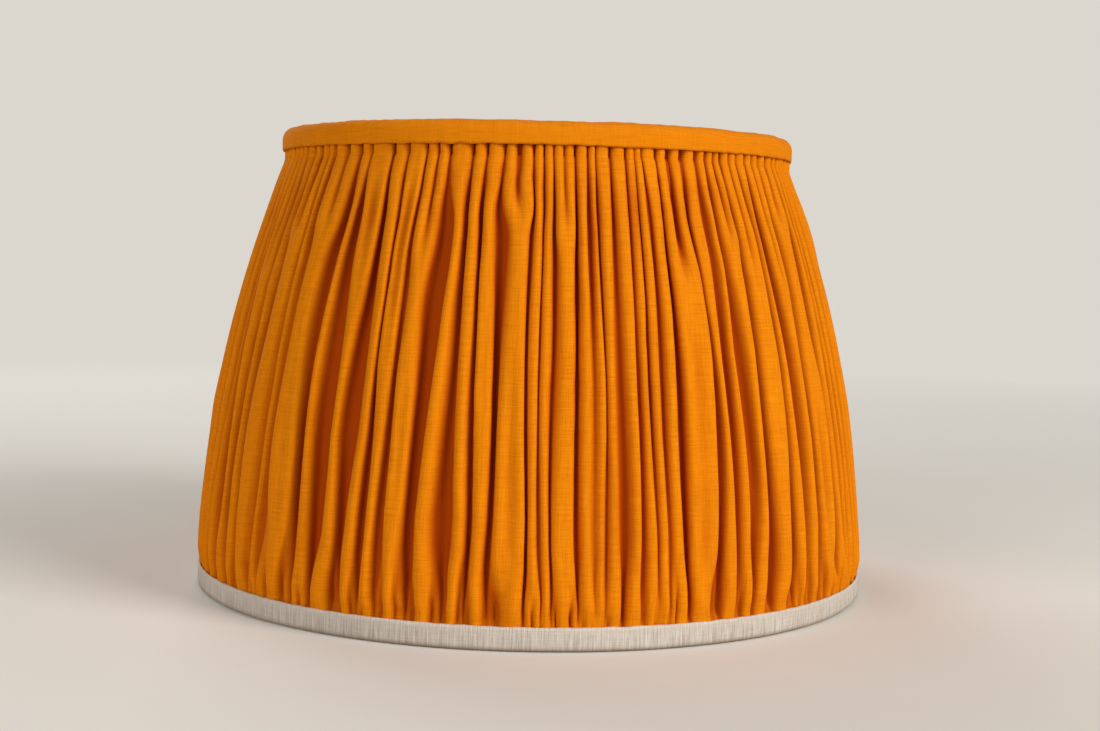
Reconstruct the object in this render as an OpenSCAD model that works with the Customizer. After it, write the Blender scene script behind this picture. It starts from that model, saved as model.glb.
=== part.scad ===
// Gathered linen lamp shade on a bowed wire frame, with a tilting gimbal fitter.
// Millimetres, +Z up. The origin is on the axis, at the height of the bottom binding's lower face.

/* [Shade] */
// Outside diameter of the bottom binding
bottom_d = 350; // [320:1:400]
// Outside diameter of the top binding
top_d = 267; // [240:1:280]
// Height from the bottom binding's lower face to the top binding's crest
shade_h = 235; // [220:1:260]
// Radius of the cover's outline from bottom to top, a larger radius being a straighter side
cover_bow_r = 580; // [560:5:640]

/* [Wire frame] */
// Diameter of the wire of the two rings
ring_wire_d = 3.2; // [2.8:0.1:3.6]
// Diameter of the wire of the struts
strut_wire_d = 2.5; // [2:0.1:3]
// How far a strut bows out from the straight line between the rings
strut_bow = 8.2; // [7:0.1:8.6]

/* [Binding] */
// Height of the bottom binding's outer face
bottom_binding_h = 11.3; // [10:0.1:13]
// Height of the top binding's outer face
top_binding_h = 11.6; // [10:0.1:13]
// Thickness of the flat linen of the bottom binding, two layers
bottom_binding_t = 1; // [0.8:0.1:1.2]
// Thickness of the padded linen of the top binding
top_binding_t = 1.2; // [1:0.1:1.4]

/* [Gimbal fitter] */
// Bore of the gimbal ring, for a wide lamp holder
gimbal_bore_d = 42; // [40:0.5:44]
// Bore of the plastic reducer, for a narrow lamp holder
reducer_bore_d = 29; // [28:0.5:30]
// Depth of the pivot below the top binding's crest
fitter_drop = 45; // [40:1:55]
// Distance of each pivot eye from the axis
pivot_x = 65; // [60:1:80]
// Diameter of the wire of the gimbal arms
arm_wire_d = 3; // [2.6:0.1:3.2]

/* [Hidden] */
$fn = 64;
strut_count = 8;

lay = 0.1;             // gap between layers that lie on each other
ring_r = ring_wire_d / 2;
strut_r = strut_wire_d / 2;
arm_r = arm_wire_d / 2;
tape_t = 0.6;          // cotton tape, wound over itself
tape_gap = 0.4;        // between the tape's end and a leaving wire
taped_r = ring_r + tape_t;
bore_r = taped_r + lay; // the gathers' inner face around a taped ring

// Thickness of the gathered linen, pressed flat round each ring: outside, inside, and over or under it
bottom_hem = [2, 0.8, 1];
top_hem = [5.3, 1, 2];
binding_corner = 2.2;
top_roll_r = 5.8;      // the top binding is padded to a round roll

// Centres of the two wire rings, as [radius, height]
bottom_ring_at = [
    bottom_d / 2 - bottom_binding_t - lay - bottom_hem[0] - bore_r,
    bottom_binding_t + lay + bottom_hem[2] + bore_r];
top_ring_at = [
    top_d / 2 - top_binding_t - lay - top_hem[0] - bore_r,
    shade_h - top_binding_t - lay - top_hem[2] - bore_r];

// The top binding's two legs hang this far below the ring's centre
top_binding_legs = top_ring_at[1] - shade_h + top_binding_h;
bottom_inner_h = bottom_binding_h - 2.5; // the bottom binding's inner face is lower than its outer one
hem_leg = 2;           // the gathers' inner edge, past the ring's centre

// The struts' arc from ring to ring
chord = top_ring_at - bottom_ring_at;
chord_l = norm(chord);
chord_out = [chord[1], -chord[0]] / chord_l;
strut_arc_r = (chord_l * chord_l / 4 + strut_bow * strut_bow) / (2 * strut_bow);
strut_arc_at = (top_ring_at + bottom_ring_at) / 2 - chord_out * (strut_arc_r - strut_bow);
strut_lean = atan2(chord_out[1], chord_out[0]);
strut_half_angle = asin(chord_l / 2 / strut_arc_r);
strut_turn = 360 / strut_count;
strut_first = strut_turn / 2;

// The cover: its outline is one arc, upright at the floor, and its inside follows the struts
cover_arc_at = [bottom_d / 2 - cover_bow_r, 0];
cover_inside_r = strut_arc_r + strut_r + 0.3;
cover_z = [bottom_binding_h + 1, shade_h - top_binding_h - 4.4];

// Fitter
pivot_z = shade_h - fitter_drop;
gimbal_r = gimbal_bore_d / 2;
gimbal_rim_r = gimbal_r + 6;
gimbal_t = 2;
eye_r = 4.5;
eye_t = 2;
eye_clearance = 0.05;  // running clearance of the arm in the eye
side_play = 0.2;       // between the eye and the cap
cap_r = 3.6;
cap_t = 1.4;
arm_tip = 0.6;         // the arm stands out of its cap
drop_arm_t = 1.6;      // the drop arms are flat strip
drop_arm_w = 6;
arm_bend_r = 3;
bend_steps = 6;
arm_fall = 12;         // upright stretch of the drop arm below the ring
eye_neck = 10.5;       // height of the drop arm's last bend above the pivot

// Reducer
reducer_r = reducer_bore_d / 2;
reducer_wall = 2;
reducer_gap = 0.2;     // between the collar and the gimbal ring's bore
reducer_h = 6;
reducer_web = 1.5;
reducer_flange_r = gimbal_r + 3;
reducer_ribs = 6;

// Stitches along the bindings' inner edges
thread_r = 0.28;
stitch_l = 3.2;
stitch_slant = 25;
stitch_inset = 1.4;    // below the binding's edge
top_stitches = 72;
bottom_stitches = 96;

function unit(v) = v / norm(v);
function angle_of(v) = atan2(v[1], v[0]);
// Directions at which something leaves the ring, so that the tape parts there
strut_angles = [for (i = [0:strut_count - 1]) strut_first + i * strut_turn];
top_leaving = concat([0], [for (a = strut_angles) if (a < 180) a], [180],
    [for (a = strut_angles) if (a > 180) a]);

// Turns the drawing plane so that its y becomes the height
module upright() rotate([90, 0, 0]) children();

module ring_of_wire(at, r)
    rotate_extrude() translate(at) circle(r);

module strut_wire()
    translate([strut_arc_at[0], 0, strut_arc_at[1]]) upright()
        rotate([0, 0, strut_lean - strut_half_angle])
            rotate_extrude(angle = 2 * strut_half_angle) translate([strut_arc_r, 0]) circle(strut_r);

// One side of a strip's outline: the corners pts = [[x, z], ...] rounded to bend_r, moved by side
function strip_side(pts, bend_r, side) = [
    for (i = [0:len(pts) - 1])
        let (back = unit(pts[max(i - 1, 0)] - pts[max(i, 1)]),
             ahead = unit(pts[min(i + 1, len(pts) - 1)] - pts[min(i, len(pts) - 2)]))
        if (i == 0) pts[i] + side * [-ahead[1], ahead[0]]
        else if (i == len(pts) - 1) pts[i] + side * [back[1], -back[0]]
        else let (half = acos(back * ahead) / 2,
                  left = back[1] * ahead[0] - back[0] * ahead[1] > 0 ? 1 : -1,
                  centre = pts[i] + unit(back + ahead) * bend_r / sin(half),
                  start = angle_of(pts[i] + back * bend_r / tan(half) - centre),
                  r = bend_r - left * side)
            each [for (s = [0:bend_steps])
                centre + r * [cos(start + left * (180 - 2 * half) * s / bend_steps),
                              sin(start + left * (180 - 2 * half) * s / bend_steps)]]];

// A flat strip bent through the corners pts, t thick and w wide
module bent_strip(pts, bend_r, t, w)
    upright() linear_extrude(w, center = true)
        let (near = strip_side(pts, bend_r, t / 2), far = strip_side(pts, bend_r, -t / 2))
            polygon(concat(near, [for (i = [len(far) - 1:-1:0]) far[i]]));

// Cross-section of a trough, open above, with rounded lower corners.
// It reaches inner and outer from the ring's centre, below under it and up over it.
module trough(inner, outer, below, up, corner) {
    translate([-inner, corner - below]) square([inner + outer, below + up - corner]);
    translate([corner - inner, -below]) square([inner + outer - 2 * corner, corner]);
    for (x = [corner - inner, outer - corner]) translate([x, corner - below]) circle(corner);
}

// The space of a taped ring and of what leaves it upwards
module ring_way() {
    circle(bore_r);
    translate([-bore_r, 0]) square([2 * bore_r, 40]);
}

// Gathers pressed round a ring: an outer leg of height up and a short inner one
module hem_section(hem, up, corner)
    difference() {
        trough(bore_r + hem[1], bore_r + hem[0], bore_r + hem[2], up, corner - lay);
        ring_way();
        translate([-20, hem_leg]) square([20, 40]);
    }

// A binding folded over the gathers round a ring, t thick, with an outer and an inner leg
module binding_section(hem, t, up, inner_up, corner)
    difference() {
        trough(bore_r + hem[1] + lay + t, bore_r + hem[0] + lay + t, bore_r + hem[2] + lay + t,
            up, corner);
        trough(bore_r + hem[1] + lay, bore_r + hem[0] + lay, bore_r + hem[2] + lay, 40, corner - t);
        translate([-20, inner_up]) square([20, 40]);
    }

// Half the gap in the tape, as an angle: the drop arms are at 0 and 180 degrees, struts elsewhere
function parting(r, angle) =
    asin(((angle % 180 == 0 ? drop_arm_w / 2 : strut_r) + tape_gap) / r);

// Tape wound round a ring in stretches that stop at each leaving wire
module wound_tape(at, leaving) {
    for (i = [0:len(leaving) - 1]) {
        next = i + 1 < len(leaving) ? leaving[i + 1] : leaving[0] + 360;
        start = leaving[i] + parting(at[0], leaving[i]);
        rotate([0, 0, start])
            rotate_extrude(angle = next - parting(at[0], next) - start)
                translate(at) difference() {
                    circle(taped_r);
                    circle(ring_r + 0.03);
                }
    }
}

module cover_section() {
    intersection() {
        translate(cover_arc_at) circle(cover_bow_r, $fn = 400);
        difference() {
            translate([0, cover_z[0]]) square([bottom_d, cover_z[1] - cover_z[0]]);
            translate(strut_arc_at) circle(cover_inside_r, $fn = 400);
        }
    }
    translate(bottom_ring_at)
        hem_section(bottom_hem, cover_z[0] + 0.5 - bottom_ring_at[1], binding_corner - bottom_binding_t);
    difference() {
        translate(top_ring_at) mirror([0, 1])
            hem_section(top_hem, top_ring_at[1] - cover_z[1] + 0.5, top_roll_r - top_binding_t);
        // The struts come in under the top ring, so the gathers thin there
        intersection() {
            translate(strut_arc_at) circle(cover_inside_r, $fn = 400);
            translate([top_ring_at[0], cover_z[0]]) square([bottom_d, top_ring_at[1] - cover_z[0]]);
        }
    }
}

module cover_half(first)
    rotate([0, 0, first]) rotate_extrude(angle = 180) cover_section();

module stitch_row(count, r, z)
    for (i = [0:count - 1])
        rotate([0, 0, (i + 0.5) * 360 / count])
            translate([r, 0, z]) rotate([90 + stitch_slant, 0, 0])
                cylinder(r = thread_r, h = stitch_l, center = true, $fn = 16);

module top_ring() color("gainsboro") ring_of_wire(top_ring_at, ring_r);

module bottom_ring() color("gainsboro") ring_of_wire(bottom_ring_at, ring_r);

module strut(i)
    color("gainsboro") rotate([0, 0, strut_angles[i - 1]]) difference() {
        strut_wire();
        ring_of_wire(top_ring_at, ring_r + 0.02);
        ring_of_wire(bottom_ring_at, ring_r + 0.02);
    }

// The strip that hangs from the top ring and ends in a drilled eye
module drop_arm()
    color("gainsboro") difference() {
        union() {
            bent_strip([
                top_ring_at,
                [top_ring_at[0], top_ring_at[1] - arm_fall],
                [pivot_x, pivot_z + eye_neck],
                [pivot_x, pivot_z]], arm_bend_r, drop_arm_t, drop_arm_w);
            translate([pivot_x - eye_t / 2, 0, pivot_z]) rotate([0, 90, 0]) cylinder(r = eye_r, h = eye_t);
        }
        ring_of_wire(top_ring_at, ring_r + 0.02);
        translate([pivot_x - 10, 0, pivot_z]) rotate([0, 90, 0])
            cylinder(r = arm_r + eye_clearance, h = 20);
    }

module top_ring_tape() color("ivory") wound_tape(top_ring_at, top_leaving);

module bottom_ring_tape() color("ivory") wound_tape(bottom_ring_at, strut_angles);

module cover_front() color("darkorange") cover_half(180);

module cover_back() color("orange") cover_half(0);

module top_binding()
    color("goldenrod") rotate_extrude() translate(top_ring_at) mirror([0, 1])
        binding_section(top_hem, top_binding_t, top_binding_legs, top_binding_legs, top_roll_r);

module bottom_binding()
    color("linen") rotate_extrude() translate(bottom_ring_at)
        binding_section(bottom_hem, bottom_binding_t, bottom_binding_h - bottom_ring_at[1],
            bottom_inner_h - bottom_ring_at[1], binding_corner);

module gimbal_ring()
    color("gainsboro") translate([0, 0, pivot_z - gimbal_t / 2]) difference() {
        cylinder(r = gimbal_rim_r, h = gimbal_t, $fn = 96);
        translate([0, 0, -1]) cylinder(r = gimbal_r, h = gimbal_t + 2, $fn = 96);
    }

// One side's wire, welded to the gimbal ring and running in the drop arm's eye
module gimbal_arm()
    color("gainsboro") difference() {
        translate([0, 0, pivot_z]) rotate([0, 90, 0])
            cylinder(r = arm_r, h = pivot_x + eye_t / 2 + side_play + cap_t + arm_tip);
        translate([0, 0, pivot_z - 10]) cylinder(r = gimbal_rim_r + 0.02, h = 20, $fn = 96);
    }

module pivot_cap()
    color("silver") translate([pivot_x + eye_t / 2 + side_play, 0, pivot_z]) rotate([0, 90, 0])
        difference() {
            cylinder(r = cap_r, h = cap_t);
            translate([0, 0, -1]) cylinder(r = arm_r, h = cap_t + 2);
        }

// Plastic ring dropped into the gimbal ring from above: two walls, a web, a flange and ribs
module reducer_ring() {
    collar_r = gimbal_r - reducer_gap;
    top_z = pivot_z + gimbal_t / 2 + reducer_web;
    color("white") translate([0, 0, top_z - reducer_h]) difference() {
        union() {
            cylinder(r = collar_r, h = reducer_h, $fn = 96);
            translate([0, 0, reducer_h - reducer_web])
                cylinder(r = reducer_flange_r, h = reducer_web, $fn = 96);
        }
        translate([0, 0, -1]) cylinder(r = reducer_r, h = reducer_h + 2, $fn = 96);
        difference() {
            translate([0, 0, -1]) cylinder(r = collar_r - reducer_wall, h = reducer_h + 1 - reducer_web);
            translate([0, 0, -2]) cylinder(r = reducer_r + reducer_wall, h = reducer_h + 4);
            for (i = [0:reducer_ribs - 1]) rotate([0, 0, (i + 0.5) * 360 / reducer_ribs])
                translate([0, -0.6, -2]) cube([gimbal_r, 1.2, reducer_h + 4]);
        }
    }
}

module top_binding_stitches() {
    inner_r = top_ring_at[0] - bore_r - top_hem[1] - lay - top_binding_t;
    color("khaki") stitch_row(top_stitches, inner_r - thread_r - 0.03,
        shade_h - top_binding_h + stitch_inset);
}

module bottom_binding_stitches() {
    inner_r = bottom_ring_at[0] - bore_r - bottom_hem[1] - lay - bottom_binding_t;
    color("beige") stitch_row(bottom_stitches, inner_r - thread_r - 0.03,
        bottom_inner_h - stitch_inset);
}

top_ring();
bottom_ring();
for (i = [1:strut_count]) strut(i);
mirror([1, 0, 0]) drop_arm();  // drop_arm_left
drop_arm();  // drop_arm_right
top_ring_tape();
bottom_ring_tape();
cover_front();
cover_back();
top_binding();
bottom_binding();
top_binding_stitches();
bottom_binding_stitches();
gimbal_ring();
mirror([1, 0, 0]) gimbal_arm();  // gimbal_arm_left
gimbal_arm();  // gimbal_arm_right
mirror([1, 0, 0]) pivot_cap();  // pivot_cap_left
pivot_cap();  // pivot_cap_right
reducer_ring();
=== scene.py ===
"""Looks of a gathered linen lamp shade, dressed round its packed wire frame.

Two gathered linen panels hang outside a ring-and-strut wire frame. A padded roll of the same linen
binds the top edge and a flat strip of undyed linen binds the bottom edge. A tilting fitter ring with
a plastic reducer hangs inside from two drop arms. All lengths are metres and all angles radians.
"""

import logging
import math
from dataclasses import dataclass, field
from enum import Enum

import bpy
import numpy as np
from mathutils import Euler, Matrix, Vector


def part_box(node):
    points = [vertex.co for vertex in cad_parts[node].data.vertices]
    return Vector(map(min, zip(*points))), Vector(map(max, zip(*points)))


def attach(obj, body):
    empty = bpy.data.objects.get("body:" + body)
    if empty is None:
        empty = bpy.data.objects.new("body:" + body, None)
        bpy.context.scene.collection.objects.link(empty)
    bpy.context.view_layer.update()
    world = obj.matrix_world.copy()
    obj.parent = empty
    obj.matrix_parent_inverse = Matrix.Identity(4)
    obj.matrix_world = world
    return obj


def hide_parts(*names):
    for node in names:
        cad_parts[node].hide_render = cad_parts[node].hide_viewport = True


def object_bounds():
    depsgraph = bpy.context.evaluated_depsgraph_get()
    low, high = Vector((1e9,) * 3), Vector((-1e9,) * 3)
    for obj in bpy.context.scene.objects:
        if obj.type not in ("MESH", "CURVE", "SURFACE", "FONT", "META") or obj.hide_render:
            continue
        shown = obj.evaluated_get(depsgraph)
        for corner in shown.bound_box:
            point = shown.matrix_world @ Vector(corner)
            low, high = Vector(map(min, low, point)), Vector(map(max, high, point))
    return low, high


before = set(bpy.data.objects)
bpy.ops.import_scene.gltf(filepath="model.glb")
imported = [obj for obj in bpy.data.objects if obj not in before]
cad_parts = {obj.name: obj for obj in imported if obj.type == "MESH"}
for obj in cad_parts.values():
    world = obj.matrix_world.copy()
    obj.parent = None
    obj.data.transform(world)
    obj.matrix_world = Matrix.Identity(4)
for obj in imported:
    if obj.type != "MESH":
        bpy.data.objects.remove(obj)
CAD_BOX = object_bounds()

LOG = logging.getLogger("lamp_shade")
TAU = 2 * math.pi
MM = 0.001
ARC_STEP_DEGREES = 8
WAVE_FADE = 0.7
Colour = tuple[float, float, float]
DUST_ON_CLOTH: Colour = (0.62, 0.58, 0.52)
DUST_ON_METAL: Colour = (0.55, 0.52, 0.47)


# ---------------------------------------------------------------------------------------------
# Small tools
# ---------------------------------------------------------------------------------------------


def smoothstep(x: np.ndarray | float, low: float, high: float) -> np.ndarray:
    """Smooth step over x, from 0 at low to 1 at high."""
    t = np.clip((np.asarray(x, dtype=float) - low) / (high - low), 0.0, 1.0)
    return t * t * (3 - 2 * t)


def wander(rng: np.random.Generator, count: int, at: np.ndarray, waves: int, cycles: float) -> np.ndarray:
    """Smooth random curves, one for each of count things, sampled at the places at.

    Args:
        rng: Seeded source of the draws.
        count: Number of curves.
        at: Places from 0 to 1.
        waves: Number of waves summed in each curve.
        cycles: Cycles of the slowest wave between 0 and 1.

    Returns:
        An array of count rows, of about unit size.
    """
    total = np.zeros((count, at.size))
    for wave in range(1, waves + 1):
        phase = rng.uniform(0, TAU, (count, 1))
        size = rng.normal(0, 1, (count, 1)) / wave**WAVE_FADE
        total += size * np.cos(TAU * cycles * wave * at[None, :] + phase)
    return total


def arc_points(centre: tuple[float, float], radius: float, start: float, end: float) -> np.ndarray:
    """Points of an arc in the (radius, height) plane.

    Args:
        centre: Centre of the arc.
        radius: Radius of the arc.
        start: First angle, in degrees.
        end: Last angle, in degrees.

    Returns:
        An array of points at small equal steps.
    """
    steps = max(3, int(abs(end - start) / ARC_STEP_DEGREES))
    angle = np.radians(np.linspace(start, end, steps))
    return np.column_stack([centre[0] + radius * np.cos(angle), centre[1] + radius * np.sin(angle)])


def resample(path: np.ndarray, count: int) -> tuple[np.ndarray, np.ndarray]:
    """A path taken again at equal steps of its own length.

    Args:
        path: Points in the (radius, height) plane.
        count: Number of points wanted.

    Returns:
        The new points and each one's distance along the path.
    """
    step = np.hypot(*np.diff(path, axis=0).T)
    length = np.concatenate([[0], np.cumsum(step)])
    at = np.linspace(0, length[-1], count)
    return np.column_stack([np.interp(at, length, path[:, 0]), np.interp(at, length, path[:, 1])]), at


def only(obj: bpy.types.Object) -> None:
    """Makes obj the only selected object and the active one.

    Args:
        obj: The object.
    """
    bpy.ops.object.select_all(action="DESELECT")
    obj.select_set(True)
    bpy.context.view_layer.objects.active = obj


def grid_piece(name: str, points: np.ndarray, uv: np.ndarray) -> bpy.types.Object:
    """A sheet of quads through a grid of points.

    Args:
        name: Name of the new piece.
        points: Array of rows by columns by 3.
        uv: Cloth coordinates in metres, rows by columns by 2.

    Returns:
        The new object, with its UV map called cloth.
    """
    rows, columns = points.shape[:2]
    index = np.arange(rows * columns).reshape(rows, columns)
    corners = [index[:-1, :-1], index[:-1, 1:], index[1:, 1:], index[1:, :-1]]
    faces = np.stack(corners, axis=-1).reshape(-1, 4)
    mesh = bpy.data.meshes.new(name)
    mesh.vertices.add(rows * columns)
    mesh.vertices.foreach_set("co", points.reshape(-1))
    mesh.loops.add(faces.size)
    mesh.loops.foreach_set("vertex_index", faces.reshape(-1))
    mesh.polygons.add(len(faces))
    mesh.polygons.foreach_set("loop_start", np.arange(0, faces.size, 4))
    mesh.polygons.foreach_set("loop_total", np.full(len(faces), 4))
    mesh.polygons.foreach_set("use_smooth", np.ones(len(faces), dtype=bool))
    layer = mesh.uv_layers.new(name="cloth")
    layer.data.foreach_set("uv", uv.reshape(-1, 2)[faces.reshape(-1)].reshape(-1))
    mesh.update(calc_edges=True)
    piece = bpy.data.objects.new(name, mesh)
    bpy.context.scene.collection.objects.link(piece)
    return piece


def set_hollow(piece: bpy.types.Object, hollow: np.ndarray) -> None:
    """Stores how deep in a fold each point lies, from 0 on a ridge to 1 in a valley; the linen paints its
    valley shade from it.
    """
    layer = piece.data.attributes.new("hollow", "FLOAT", "POINT")
    layer.data.foreach_set("value", hollow.astype(np.float32).reshape(-1))


def clear_inside(piece: bpy.types.Object) -> None:
    """Takes the painted valley shade off the inner side of a cloth that Solidify has made two-sided.

    Args:
        piece: The cloth, with its tint stored as the attribute hollow.
    """
    mesh = piece.data
    place = np.zeros(len(mesh.vertices) * 3)
    mesh.vertices.foreach_get("co", place)
    radius = np.hypot(*place.reshape(-1, 3)[:, :2].T)
    tint = np.zeros(len(mesh.vertices))
    mesh.attributes["hollow"].data.foreach_get("value", tint)
    half = len(tint) // 2
    inner = slice(0, half) if radius[:half].mean() < radius[half:].mean() else slice(half, None)
    tint[inner] = 0
    mesh.attributes["hollow"].data.foreach_set("value", tint)


def thicken(piece: bpy.types.Object, thickness: float) -> None:
    """Gives a sheet its thickness, half on each side.

    Args:
        piece: The sheet.
        thickness: Thickness of the cloth.
    """
    only(piece)
    wall = piece.modifiers.new("thickness", "SOLIDIFY")
    wall.thickness = thickness
    wall.offset = 0
    bpy.ops.object.modifier_apply(modifier=wall.name)


def dress(piece: bpy.types.Object, material: bpy.types.Material) -> None:
    """Gives a piece or a CAD node one material.

    Args:
        piece: The object to dress.
        material: Its material.
    """
    if not piece.material_slots:
        piece.data.materials.append(material)
        return
    for place in piece.material_slots:
        place.material = material


def fix_to_shade(piece: bpy.types.Object, node: str, material: bpy.types.Material) -> None:
    """Dresses a piece and lets it ride on the shade in place of a CAD node.

    Args:
        piece: The finished mesh.
        node: The CAD node that it stands for.
        material: Its material.
    """
    dress(piece, material)
    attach(piece, "shade")
    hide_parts(node)


# ---------------------------------------------------------------------------------------------
# Shader graphs
# ---------------------------------------------------------------------------------------------


class Graph:
    """Adds and joins shader nodes in one tree."""

    def __init__(self, tree: bpy.types.NodeTree) -> None:
        """Works on tree, which it empties first.

        Args:
            tree: The tree to fill.
        """
        self.tree = tree
        self.tree.nodes.clear()
        self.column = 0

    def node(self, kind: str, inputs: dict | None = None, **settings: object) -> bpy.types.Node:
        """Adds a node.

        Args:
            kind: Blender's name of the node type.
            inputs: Values or sockets for its inputs, by name or number.
            settings: Values of the node's own attributes.

        Returns:
            The new node.
        """
        made = self.tree.nodes.new(kind)
        made.location = (180 * (self.column % 12), -220 * (self.column // 12))
        self.column += 1
        for name, value in settings.items():
            setattr(made, name, value)
        for name, value in (inputs or {}).items():
            self.feed(value, made.inputs[name])
        return made

    def feed(self, value: object, target: bpy.types.NodeSocket) -> None:
        """Links a socket to target, or sets target's own value.

        Args:
            value: The socket or plain value.
            target: The input that it goes to.
        """
        if isinstance(value, bpy.types.NodeSocket):
            self.tree.links.new(value, target)
            return
        if isinstance(value, tuple) and target.type == "RGBA" and len(value) == 3:
            value = (*value, 1.0)
        target.default_value = value

    def math(self, operation: str, *values: object, clamp: bool = False) -> bpy.types.NodeSocket:
        """One arithmetic step on numbers or sockets, held between 0 and 1 if clamp is true."""
        made = self.node("ShaderNodeMath", dict(enumerate(values)), operation=operation, use_clamp=clamp)
        return made.outputs[0]

    def blend(self, factor: object, first: object, second: object) -> bpy.types.NodeSocket:
        """Mixes two colours.

        Args:
            factor: 0 gives first and 1 gives second.
            first: A colour or socket.
            second: A colour or socket.

        Returns:
            The mixed colour's socket.
        """
        made = self.node("ShaderNodeMix", data_type="RGBA")
        self.feed(factor, made.inputs["Factor"])
        self.feed(first, made.inputs[6])
        self.feed(second, made.inputs[7])
        return made.outputs[2]

    def stretch(self, value: object, low: float, high: float) -> bpy.types.NodeSocket:
        """Maps low..high onto 0..1, held inside."""
        made = self.node("ShaderNodeMapRange", {"Value": value, "From Min": low, "From Max": high})
        return made.outputs["Result"]

    def noise(self, vector: object, scale: object, detail: float = 2.0) -> bpy.types.NodeSocket:
        """Noise from 0 to 1, read at vector, with its scale per metre."""
        made = self.node("ShaderNodeTexNoise", {"Vector": vector, "Scale": scale, "Detail": detail})
        return made.outputs["Fac"]

    def scaled(self, vector: object, scale: tuple[float, float, float]) -> bpy.types.NodeSocket:
        """A vector multiplied axis by axis."""
        made = self.node("ShaderNodeVectorMath", {0: vector, 1: scale}, operation="MULTIPLY")
        return made.outputs[0]


class Effect(Enum):
    """Surface effects that more than one finish uses."""

    WEAVE = "plain_weave"
    DUST = "settled_dust"
    GRAIN = "fine_grain"
    WEAR = "rubbed_edges"


class GroupGraph(Graph):
    """The graph of one shared node group, which reads a vector and some numbers."""

    def __init__(self, effect: Effect, *numbers: str) -> None:
        """Makes the group and its inputs.

        Args:
            effect: Which group.
            numbers: Names of its number inputs, after the one called Vector.
        """
        super().__init__(bpy.data.node_groups.new(effect.value, "ShaderNodeTree"))
        self.tree.interface.new_socket("Vector", in_out="INPUT", socket_type="NodeSocketVector")
        for name in numbers:
            self.tree.interface.new_socket(name, in_out="INPUT", socket_type="NodeSocketFloat")
        self.given = self.node("NodeGroupInput").outputs
        self.at = self.given["Vector"]

    def put_out(self, **results: bpy.types.NodeSocket) -> bpy.types.NodeTree:
        """Adds the group's number outputs.

        Args:
            results: Socket that feeds each output, by the output's name.

        Returns:
            The finished group.
        """
        for name in results:
            self.tree.interface.new_socket(name, in_out="OUTPUT", socket_type="NodeSocketFloat")
        self.node("NodeGroupOutput", results)
        return self.tree


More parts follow.
